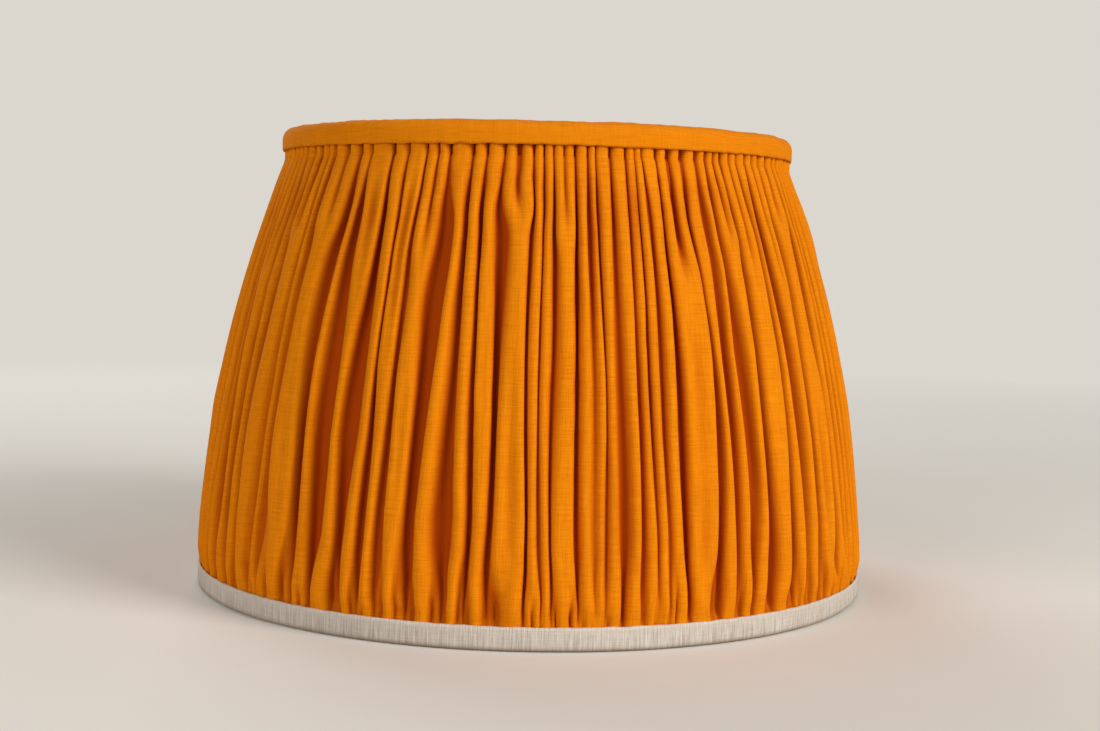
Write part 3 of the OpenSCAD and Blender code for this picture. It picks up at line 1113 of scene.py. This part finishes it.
@dataclass
class GatheredPanel:
    """One gathered linen panel, seamed to the other at the sides."""

    name: str
    node: str
    first_angle: float
    seed: int
    shape: ShadeShape
    rests_on: tuple[str, ...]
    habit: GatherHabit = GatherHabit()
    cut_width: float = 0.94
    cut_height: float = 0.262
    thickness: float = 0.42 * MM
    folds: int = 46
    columns: int = 810
    close_step: float = 1.7 * MM
    open_step: float = 4.6 * MM
    close_near_low: float = 17 * MM
    close_near_high: float = 14 * MM
    under_band: float = 7 * MM
    under_roll: float = 5 * MM
    steepest: float = 1.5
    tilt_sizes: tuple[float, float] = (0.2, 6.0)
    halvings: int = 26
    limit_power: float = 6
    drift_reach: float = 3.0
    held_straight: float = 0.65
    # How far into a fold the painted valley shade reaches, and how much of it eases off just above the
    # bottom binding.
    hollow_reach: float = 0.9
    hollow_fade: float = 0.4
    hollow_fade_run: float = 8 * MM

    def heights(self) -> np.ndarray:
        """Heights of the rows, close together near both bindings.

        Returns:
            The heights, from under the bottom binding to inside the top one.
        """
        low = self.shape.band_top - self.under_band
        high = self.shape.roll_low + self.under_roll
        z = low + (high - low) * np.linspace(0, 1, 4001)
        near_low = np.exp(-(((z - self.shape.band_top) / self.close_near_low) ** 2))
        near_high = np.exp(-(((z - self.shape.roll_low) / self.close_near_high) ** 2))
        step = self.open_step - (self.open_step - self.close_step) * np.maximum(near_low, near_high)
        counted = np.concatenate([[0], np.cumsum(np.diff(z) / step[1:])])
        rows = int(round(counted[-1])) + 1
        return np.interp(np.linspace(0, counted[-1], rows), counted, z)

    def build_grid(self) -> tuple[np.ndarray, np.ndarray, np.ndarray]:
        """Works out where every point of the cloth lies.

        Returns:
            The points, the cloth coordinates and the depth in the folds, rows by columns.
        """
        z = self.heights()
        plan = FoldPlan.draw(np.random.default_rng(self.seed), self, z)
        s = np.linspace(0, self.cut_width, self.columns)
        runs, rises = zip(*(self.gathered_row(plan, s, row, z[row]) for row in range(z.size)))
        self.steady(plan, s, runs)
        points = np.zeros((z.size, self.columns, 3))
        hollow = np.zeros((z.size, self.columns))
        for row, (run, rise) in enumerate(zip(runs, rises)):
            radius = self.shape.ridge_radius(z[row])
            height, floor = self.fit_depth(plan, s, row, z[row], run, rise)
            across = run * math.pi * radius + plan.lean[plan.fold_at(s, row), row] * height
            across += plan.sway(s / self.cut_width, (z[row] - z[0]) / (z[-1] - z[0]))
            theta = self.first_angle + across / radius
            r = np.maximum(floor + height, self.shape.over_struts(theta, z[row], radius))
            points[row] = np.column_stack([r * np.cos(theta), r * np.sin(theta), np.full(s.size, z[row])])
            # Painted valley shade: it grows with depth in the fold and eases off just above the bottom
            # binding.
            above_band = max(z[row] - self.shape.band_top, 0)
            faded = 1 - self.hollow_fade * math.exp(-above_band / self.hollow_fade_run)
            reach = self.hollow_reach * self.shape.fold_depth(z[row])
            hollow[row] = faded * np.clip((radius - r) / reach, 0, 1)
        climb = np.concatenate([[0], np.cumsum(np.hypot(np.diff(z), np.diff(self.shape.ridge_radius(z))))])
        uv = np.stack(np.broadcast_arrays(s[None, :], climb[:, None]), axis=-1)
        return points, uv, hollow

    def gathered_row(
        self, plan: FoldPlan, s: np.ndarray, row: int, z: float
    ) -> tuple[np.ndarray, np.ndarray]:
        """Folds one row of the cloth.

        Args:
            plan: The panel's folds.
            s: Distance of each column across the flat cloth.
            row: Number of the row.
            z: Height of the row.

        Returns:
            Share of the way round at each column, and its height above the valleys.
        """
        slope = plan.slope(s, row)
        radius = self.shape.ridge_radius(z)
        wanted = math.pi * (radius - 0.5 * self.shape.fold_depth(z)) / self.cut_width
        angle = self.tilt_for(slope, wanted)
        ds = s[1] - s[0]
        run, rise = (
            np.concatenate([[0], np.cumsum((part[1:] + part[:-1]) / 2 * ds)])
            for part in (np.cos(angle), np.sin(angle))
        )
        bounds = plan.bounds[:, row]
        rise -= np.interp(s, bounds, np.interp(bounds, s, rise))
        return run / run[-1], np.maximum(rise, -0.3 * MM)

    def steady(self, plan: FoldPlan, s: np.ndarray, runs: tuple[np.ndarray, ...]) -> None:
        """Takes out the slow sideways drift of whole groups of folds, and part of each fold's own.

        Args:
            plan: The panel's folds.
            s: Distance of each column across the flat cloth.
            runs: Share of the way round at each column, row by row, which it changes.
        """
        at = np.array([np.interp(plan.bounds[:, row], s, run) for row, run in enumerate(runs)])
        drift = at - at.mean(axis=0)
        number = np.arange(self.folds + 1)
        near = np.exp(-(((number[:, None] - number[None, :]) / self.drift_reach) ** 2))
        slow = drift @ (near / near.sum(axis=0))
        slow += self.held_straight * (drift - slow)
        slow[:, [0, -1]] = 0
        for row, run in enumerate(runs):
            run -= np.interp(s, plan.bounds[:, row], slow[row])

    def fit_depth(
        self, plan: FoldPlan, s: np.ndarray, row: int, z: float, run: np.ndarray, rise: np.ndarray
    ) -> tuple[np.ndarray, np.ndarray]:
        """Presses the folds into the room outside the struts.

        Args:
            plan: The panel's folds.
            s: Distance of each column across the flat cloth.
            row: Number of the row.
            z: Height of the row.
            run: Share of the way round at each column.
            rise: Height of each column above the valleys.

        Returns:
            Height of each column above its fold's floor, and the radius of that floor.
        """
        k = plan.fold_at(s, row)
        tops = np.zeros(self.folds)
        np.maximum.at(tops, k, rise)
        bounds = plan.bounds[:, row]
        centres = (bounds[1:] + bounds[:-1]) / 2
        radius = self.shape.ridge_radius(z)
        theta = self.first_angle + math.pi * np.interp(centres, s, run)
        depth = self.shape.fold_depth(z) + self.shape.sag_between_struts(z, theta, radius)
        held = tops / (1 + (tops / depth) ** self.limit_power) ** (1 / self.limit_power)
        floor = np.interp(s, centres, radius - plan.gap[:, row] - held)
        return rise * (held / np.maximum(tops, 0.1 * MM))[k], floor

    def tilt_for(self, slope: np.ndarray, wanted: float) -> np.ndarray:
        """Scales a fold pattern until the cloth is gathered to the wanted share of its width.

        Args:
            slope: Pattern of the cloth's tilt across the row.
            wanted: Gathered width over flat width.

        Returns:
            The tilt of the cloth at each column.
        """
        low, high = self.tilt_sizes
        for _ in range(self.halvings):
            size = (low + high) / 2
            angle = self.steepest * np.tanh(size * slope / self.steepest)
            if np.cos(angle).mean() > wanted:
                low = size
            else:
                high = size
        return angle

    def build(self, material: bpy.types.Material) -> bpy.types.Object:
        """Makes the panel and dresses it.

        Args:
            material: The panel's linen.

        Returns:
            The finished panel.
        """
        points, uv, hollow = self.build_grid()
        piece = grid_piece(self.name, points, uv)
        set_hollow(piece, hollow)
        thicken(piece, self.thickness)
        clear_inside(piece)
        fix_to_shade(piece, self.node, material)
        return piece


# ---------------------------------------------------------------------------------------------
# Bindings
# ---------------------------------------------------------------------------------------------


@dataclass
class Binding:
    """A strip of linen folded over one edge of the shade, with both raw edges turned under."""

    name: str
    node: str
    finish: LinenFinish
    seed: int
    width: float
    inner_leg: float
    outer_leg: float
    corner: float
    upward: bool
    puff: float
    edge_wander: float
    cloth: float = 0.5 * MM
    turned: float = 3.2 * MM
    tuck: float = 0.35 * MM
    around: int = 720
    across: int = 44
    overlap: float = 14 * MM
    overlap_gap: float = 0.08 * MM
    overlap_ramp: float = 4 * MM
    join_angle: float = math.pi / 2
    rests_on: tuple[str, ...] = ()

    def section(self, outer_r: float, crest: float) -> np.ndarray:
        """The strip's path in the (radius, height) plane, for a binding that opens downwards.

        Args:
            outer_r: Outer radius of the binding.
            crest: Height of its closed edge.

        Returns:
            Points from the turned inner edge, over the closed edge, to the turned outer edge.
        """
        half = self.cloth / 2
        tuck = self.tuck
        inner_r = outer_r - self.width
        inner_low = crest - self.inner_leg
        outer_low = crest - self.outer_leg
        bend = self.corner - half
        parts = [
            np.array([[inner_r + half + 2 * tuck, inner_low + self.turned]]),
            arc_points((inner_r + half + tuck, inner_low + half + tuck), tuck, 0, -180),
            arc_points((inner_r + self.corner, crest - self.corner), bend, 180, 90),
            arc_points((outer_r - self.corner, crest - self.corner), bend, 90, 0),
            arc_points((outer_r - half - tuck, outer_low + half + tuck), tuck, 0, -180),
            np.array([[outer_r - half - 2 * tuck, outer_low + self.turned]]),
        ]
        return np.concatenate(parts)

    def build_grid(self) -> tuple[np.ndarray, np.ndarray, tuple[float, float]]:
        """Works out where every point of the strip lies.

        Returns:
            The points, the cloth coordinates and the strip's cut width and length.
        """
        rng = np.random.default_rng(self.seed)
        low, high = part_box(self.node)
        outer_r = high[0]
        if self.upward:
            path = self.section(outer_r, -low[2])
            path[:, 1] *= -1
        else:
            path = self.section(outer_r, high[2])
        path, along = resample(path, self.across)
        tangent = np.gradient(path, axis=0)
        tangent /= np.hypot(*tangent.T)[:, None]
        normal = np.column_stack([-tangent[:, 1], tangent[:, 0]])
        if self.upward:
            normal = -normal
        length = TAU * outer_r + self.overlap
        u = np.linspace(0, length, self.around)
        turn = u / outer_r
        swell = self.ring_noise(rng, turn, waves=(3, 40), count=14) * self.puff
        ripple = self.ring_noise(rng, turn, waves=(50, 150), count=16) * self.puff * 0.45
        shiver = self.ring_noise(rng, turn, waves=(20, 110), count=16) * self.edge_wander
        ripple_start = rng.uniform(0, TAU)
        edge = np.abs(2 * along / along[-1] - 1) ** 2
        under = 1 - smoothstep(u, self.overlap, self.overlap + self.overlap_ramp)
        lap = -under * (self.cloth + self.overlap_gap)
        points = np.zeros((self.around, self.across, 3))
        for column in range(self.across):
            share = along[column] / along[-1]
            body = 1 - edge[column] * 0.6
            out = swell * body + ripple * np.cos(ripple_start + 5 * share + 3 * turn) * body + lap
            r = path[column, 0] + normal[column, 0] * out
            z = path[column, 1] + normal[column, 1] * out + shiver * edge[column]
            theta = self.join_angle + turn
            points[:, column, 0] = r * np.cos(theta)
            points[:, column, 1] = r * np.sin(theta)
            points[:, column, 2] = np.maximum(z, self.cloth / 2)
        uv = np.stack(np.broadcast_arrays(u[:, None], along[None, :]), axis=-1)
        return points, uv, (float(along[-1]), float(length))

    @staticmethod
    def ring_noise(
        rng: np.random.Generator, turn: np.ndarray, waves: tuple[int, int], count: int
    ) -> np.ndarray:
        """Smooth noise that closes on itself round the ring.

        Args:
            rng: Seeded source of the draws.
            turn: Angles round the ring.
            waves: Fewest and most waves round it.
            count: Number of waves summed.

        Returns:
            Noise of about unit size.
        """
        total = np.zeros_like(turn)
        for _ in range(count):
            total += rng.normal() * np.cos(rng.integers(*waves) * turn + rng.uniform(0, TAU))
        return total / math.sqrt(count)

    def build(self, material: bpy.types.Material) -> bpy.types.Object:
        """Makes the strip and dresses it.

        Args:
            material: The strip's linen.

        Returns:
            The finished binding.
        """
        points, uv, flat = self.build_grid()
        if self.upward:
            points = points[:, ::-1]
            uv = uv[:, ::-1]
        piece = grid_piece(self.name, points, uv)
        thicken(piece, self.cloth)
        fix_to_shade(piece, self.node, material)
        return piece


@dataclass
class TapeWinding:
    """Cotton tape wound in a spiral round a wire ring."""

    name: str
    node: str
    ring: tuple[float, float]
    wire_r: float = 1.6 * MM
    tape_width: float = 12 * MM
    pitch: float = 10.4 * MM
    tape_t: float = 0.18 * MM
    first_layer: float = 0.14 * MM
    layer_step: float = 0.26 * MM
    steps_a_turn: int = 14
    across: int = 4

    def build(self, material: bpy.types.Material) -> bpy.types.Object:
        """Winds the tape.

        Args:
            material: The tape's cotton.

        Returns:
            The finished winding.
        """
        ring_r, ring_z = self.ring
        turns = round(TAU * ring_r / self.pitch)
        wind = np.linspace(0, TAU * turns, turns * self.steps_a_turn + 1)
        share = np.linspace(0, 1, self.across)
        lead = self.tape_width / ring_r
        theta = wind[None, :] / turns + (share[:, None] - 0.5) * lead
        radius = self.wire_r + self.first_layer + self.layer_step * share[:, None]
        r = ring_r + radius * np.cos(wind[None, :])
        z = ring_z + radius * np.sin(wind[None, :])
        points = np.stack([r * np.cos(theta), r * np.sin(theta), z], axis=-1)
        middle_r = self.wire_r + self.first_layer + self.layer_step / 2
        step = math.hypot(TAU * middle_r, self.pitch)
        along = wind / TAU * step
        uv = np.stack(np.broadcast_arrays(along[None, :], share[:, None] * self.tape_width), axis=-1)
        piece = grid_piece(self.name, points[::-1], uv[::-1])
        thicken(piece, self.tape_t)
        fix_to_shade(piece, self.node, material)
        return piece


@dataclass
class StitchRow:
    """Slanted hand stitches round a binding's inner edge, one modelled and the rest copied."""

    name: str
    node: str
    finish: ThreadFinish
    count: int
    thread_r: float = 0.28 * MM
    length: float = 3.4 * MM
    slant: float = math.radians(25)
    arch: float = math.radians(64)
    sides: int = 6
    turn_slip: float = 0.0012
    height_slip: float = 0.06 * MM
    tilt_slip: float = 0.06

    def one_stitch(self) -> bpy.types.Object:
        """Models one arched stitch lying along Y with its back towards -X.

        Returns:
            The stitch.
        """
        bow_r = self.length / 2 / math.sin(self.arch / 2)
        bpy.ops.object.select_all(action="DESELECT")
        bpy.ops.mesh.primitive_circle_add(
            vertices=self.sides, radius=self.thread_r, fill_type="NGON", location=(-bow_r, 0, 0),
            rotation=(math.pi / 2, 0, 0),
        )
        stitch = bpy.context.active_object
        bpy.ops.object.transform_apply(location=True, rotation=True, scale=True)
        bpy.ops.object.mode_set(mode="EDIT")
        bpy.ops.mesh.select_all(action="SELECT")
        bpy.ops.mesh.spin(steps=self.sides, angle=self.arch, center=(0, 0, 0), axis=(0, 0, 1))
        bpy.ops.mesh.select_all(action="SELECT")
        bpy.ops.mesh.remove_doubles(threshold=0.001 * MM)
        bpy.ops.mesh.normals_make_consistent(inside=False)
        bpy.ops.object.mode_set(mode="OBJECT")
        bpy.ops.object.shade_smooth()
        back = Matrix.Rotation(-self.arch / 2, 4, "Z")
        sink = Matrix.Translation((bow_r - 0.45 * self.thread_r, 0, 0))
        stitch.data.transform(Matrix.Rotation(-self.slant, 4, "X") @ sink @ back)
        return stitch

    def build(self, material: bpy.types.Material) -> bpy.types.Object:
        """Sews the row.

        Args:
            material: The thread.

        Returns:
            All stitches as one piece.
        """
        low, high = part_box(self.node)
        z = (low[2] + high[2]) / 2
        r = high[0] - self.thread_r
        rng = np.random.default_rng(self.count)
        master = self.one_stitch()
        copies = []
        for number in range(self.count):
            angle = (number + 0.5) * TAU / self.count + rng.normal(0, self.turn_slip)
            place = Matrix.Translation((r, 0, z + rng.normal(0, self.height_slip)))
            tilt = Matrix.Rotation(rng.normal(0, self.tilt_slip), 4, "X")
            copy = bpy.data.objects.new(f"{self.name}_{number}", master.data.copy())
            copy.data.transform(Matrix.Rotation(angle, 4, "Z") @ place @ tilt)
            bpy.context.scene.collection.objects.link(copy)
            copies.append(copy)
        bpy.data.objects.remove(master)
        bpy.ops.object.select_all(action="DESELECT")
        for copy in copies:
            copy.select_set(True)
        bpy.context.view_layer.objects.active = copies[0]
        bpy.ops.object.join()
        piece = bpy.context.active_object
        piece.name = self.name
        fix_to_shade(piece, self.node, material)
        return piece


# ---------------------------------------------------------------------------------------------
# Frame, fitter and studio
# ---------------------------------------------------------------------------------------------


@dataclass
class WireFrame:
    """The rings, struts and drop arms, which keep their CAD shape."""

    nodes: tuple[str, ...] = (
        "top_ring",
        "bottom_ring",
        *(f"strut_{number}" for number in range(1, 9)),
        "drop_arm_left",
        "drop_arm_right",
    )

    def dress(self, effects: Effects) -> None:
        """Powder-coats every wire.

        Args:
            effects: The shared node groups.
        """
        material = COATED_WIRE.material(effects)
        for node in self.nodes:
            dress(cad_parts[node], material)


@dataclass
class Fitter:
    """The tilting gimbal ring with its arms, caps and lift-out reducer, which keep their CAD shape."""

    coated: tuple[str, ...] = ("gimbal_ring", "gimbal_arm_left", "gimbal_arm_right")
    caps: tuple[str, ...] = ("pivot_cap_left", "pivot_cap_right")
    reducer: str = "reducer_ring"

    def dress(self, effects: Effects) -> None:
        """Gives each part its metal, coating or plastic.

        Args:
            effects: The shared node groups.
        """
        coat = COATED_FITTER.material(effects)
        steel = SPRING_STEEL.material(effects)
        for node in self.coated:
            dress(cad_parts[node], coat)
        for node in self.caps:
            dress(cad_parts[node], steel)
        dress(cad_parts[self.reducer], WHITE_PLASTIC.material(effects))


@dataclass(frozen=True)
class SoftLight:
    """A square soft light that looks at the shade's middle."""

    name: str
    at: tuple[float, float, float]
    size: float
    power: float
    tint: Colour
    looks_at: tuple[float, float, float] = (0, 0, 0.12)

    def build(self) -> None:
        """Adds the light."""
        data = bpy.data.lights.new(self.name, "AREA")
        data.size = self.size
        data.energy = self.power
        data.color = self.tint
        light = bpy.data.objects.new(self.name, data)
        light.location = self.at
        aim = Vector(self.looks_at) - Vector(self.at)
        light.rotation_euler = aim.to_track_quat("-Z", "Y").to_euler()
        bpy.context.scene.collection.objects.link(light)


@dataclass
class Studio:
    """Camera, soft lights and a pale floor that fades into an even background."""

    camera_at: tuple[float, float, float] = (0.0091, -0.908, 0.180)
    camera_pitch: float = math.radians(85.82)
    camera_roll: float = math.radians(1.29)
    lens: float = 55.636
    wall: Colour = (0.73, 0.70, 0.64)
    wall_strength: float = 0.97
    ambient: float = 0.26
    floor_r: float = 1.6
    floor_solid: float = 0.2
    floor_gap: float = 0.02
    floor_colours: tuple[Colour, Colour] = ((0.76, 0.735, 0.69), (0.79, 0.765, 0.72))
    lights: tuple[SoftLight, ...] = (
        SoftLight("key", (1.7, -1.3, 1.1), 1.1, 46.0, (1.0, 0.975, 0.94)),
        SoftLight("fill", (-1.3, -1.7, 0.9), 1.2, 18.5, (1.0, 0.98, 0.96)),
        SoftLight("back", (-0.9, 1.8, 1.2), 1.5, 26.0, (1.0, 0.98, 0.95)),
    )

    def add_camera(self) -> None:
        """Places the camera and makes it the scene's."""
        data = bpy.data.cameras.new("camera")
        data.lens = self.lens
        data.sensor_width = 36.0
        data.clip_start = 0.01
        camera = bpy.data.objects.new("camera", data)
        turned = Euler((self.camera_pitch, 0, 0)).to_matrix().to_4x4()
        rolled = Matrix.Rotation(self.camera_roll, 4, "Z")
        camera.matrix_world = Matrix.Translation(self.camera_at) @ turned @ rolled
        bpy.context.scene.collection.objects.link(camera)
        bpy.context.scene.camera = camera

    def add_world(self) -> None:
        """Sets an even, slightly warm background."""
        world = bpy.data.worlds.new("studio")
        world.use_nodes = True
        graph = Graph(world.node_tree)
        seen = graph.node("ShaderNodeLightPath").outputs["Is Camera Ray"]
        power = graph.math("MULTIPLY_ADD", seen, self.wall_strength - self.ambient, self.ambient)
        back = graph.node("ShaderNodeBackground", {"Color": self.wall, "Strength": power})
        graph.node("ShaderNodeOutputWorld", {"Surface": back.outputs[0]})
        bpy.context.scene.world = world
        bpy.context.scene.view_settings.view_transform = "Standard"

    def add_floor(self) -> None:
        """Adds the floor, which turns see-through towards its rim and is open from below."""
        bpy.ops.object.select_all(action="DESELECT")
        bpy.ops.mesh.primitive_circle_add(vertices=96, radius=self.floor_r, fill_type="NGON")
        floor = bpy.context.active_object
        floor.name = "floor"
        graph = SurfaceGraph("floor")
        length = graph.node("ShaderNodeVectorMath", {0: graph.place}, operation="LENGTH")
        distance = length.outputs["Value"]
        speckle = graph.noise(graph.place, scale=6.0, detail=3.0)
        colour = graph.blend(speckle, *self.floor_colours)
        solid = graph.stretch(distance, low=self.floor_r, high=self.floor_solid * self.floor_r)
        under = graph.node("ShaderNodeNewGeometry").outputs["Backfacing"]
        path = graph.node("ShaderNodeLightPath")
        touching = graph.math("LESS_THAN", path.outputs["Ray Length"], self.floor_gap)
        let_by = graph.math("MULTIPLY", touching, path.outputs["Is Diffuse Ray"])
        above = graph.math("SUBTRACT", 1.0, graph.math("MAXIMUM", under, let_by))
        fed = {"Base Color": colour, "Alpha": graph.math("MULTIPLY", solid, above)}
        graph.close({"Roughness": 0.9, "Specular IOR Level": 0.1}, fed, (speckle, 0.05, 0.1 * MM))
        dress(floor, graph.surface)

    def build(self) -> None:
        """Sets up the whole studio."""
        self.add_camera()
        self.add_world()
        self.add_floor()
        for light in self.lights:
            light.build()


def report_piece(piece: bpy.types.Object) -> None:
    """Logs a finished piece and its face count."""
    LOG.info("%s: %d faces", piece.name, len(piece.data.polygons))


def main() -> None:
    """Builds the studio, dresses the wire frame and the fitter, then builds the cover, the bindings, the
    tapes and the stitches.
    """
    logging.basicConfig(level=logging.INFO, format="%(name)s: %(message)s")
    Studio().build()
    effects = Effects()
    shape = ShadeShape()
    WireFrame().dress(effects)
    Fitter().dress(effects)
    linen = MUSTARD_LINEN.material(effects)
    wires_front = ("top_ring", "bottom_ring", "strut_5", "strut_6", "strut_7", "strut_8")
    wires_back = ("top_ring", "bottom_ring", "strut_1", "strut_2", "strut_3", "strut_4")
    front = GatheredPanel(
        "cover_front_linen", "cover_front", first_angle=math.pi, seed=11, shape=shape, rests_on=wires_front
    )
    back = GatheredPanel(
        "cover_back_linen", "cover_back", first_angle=0.0, seed=34, shape=shape, rests_on=wires_back
    )
    for panel in (front, back):
        report_piece(panel.build(linen))
    top = Binding(
        "top_binding_roll", "top_binding", MUSTARD_ROLL, seed=5, width=13.5 * MM, inner_leg=11.6 * MM,
        outer_leg=11.6 * MM, corner=5.8 * MM, upward=False, puff=0.26 * MM, edge_wander=0.20 * MM,
        rests_on=("cover_front_linen", "cover_back_linen", "top_ring"),
    )
    bottom = Binding(
        "bottom_binding_strip", "bottom_binding", NATURAL_LINEN, seed=8, width=9.6 * MM, inner_leg=8.8 * MM,
        outer_leg=11.3 * MM, corner=2.2 * MM, upward=True, puff=0.10 * MM, edge_wander=0.16 * MM,
        rests_on=("cover_front_linen", "cover_back_linen", "bottom_ring"),
    )
    for binding in (top, bottom):
        report_piece(binding.build(binding.finish.material(effects)))
    cotton = TAPE_COTTON.material(effects)
    for node, ring in (("top_ring_tape", shape.top_ring), ("bottom_ring_tape", shape.bottom_ring)):
        report_piece(TapeWinding(f"{node}_winding", node, ring).build(cotton))
    rows = (
        StitchRow("top_hand_stitches", "top_binding_stitches", MUSTARD_THREAD, count=72),
        StitchRow("bottom_hand_stitches", "bottom_binding_stitches", NATURAL_THREAD, count=96),
    )
    for row in rows:
        report_piece(row.build(row.finish.material(effects)))


if __name__ == "__main__":
    main()
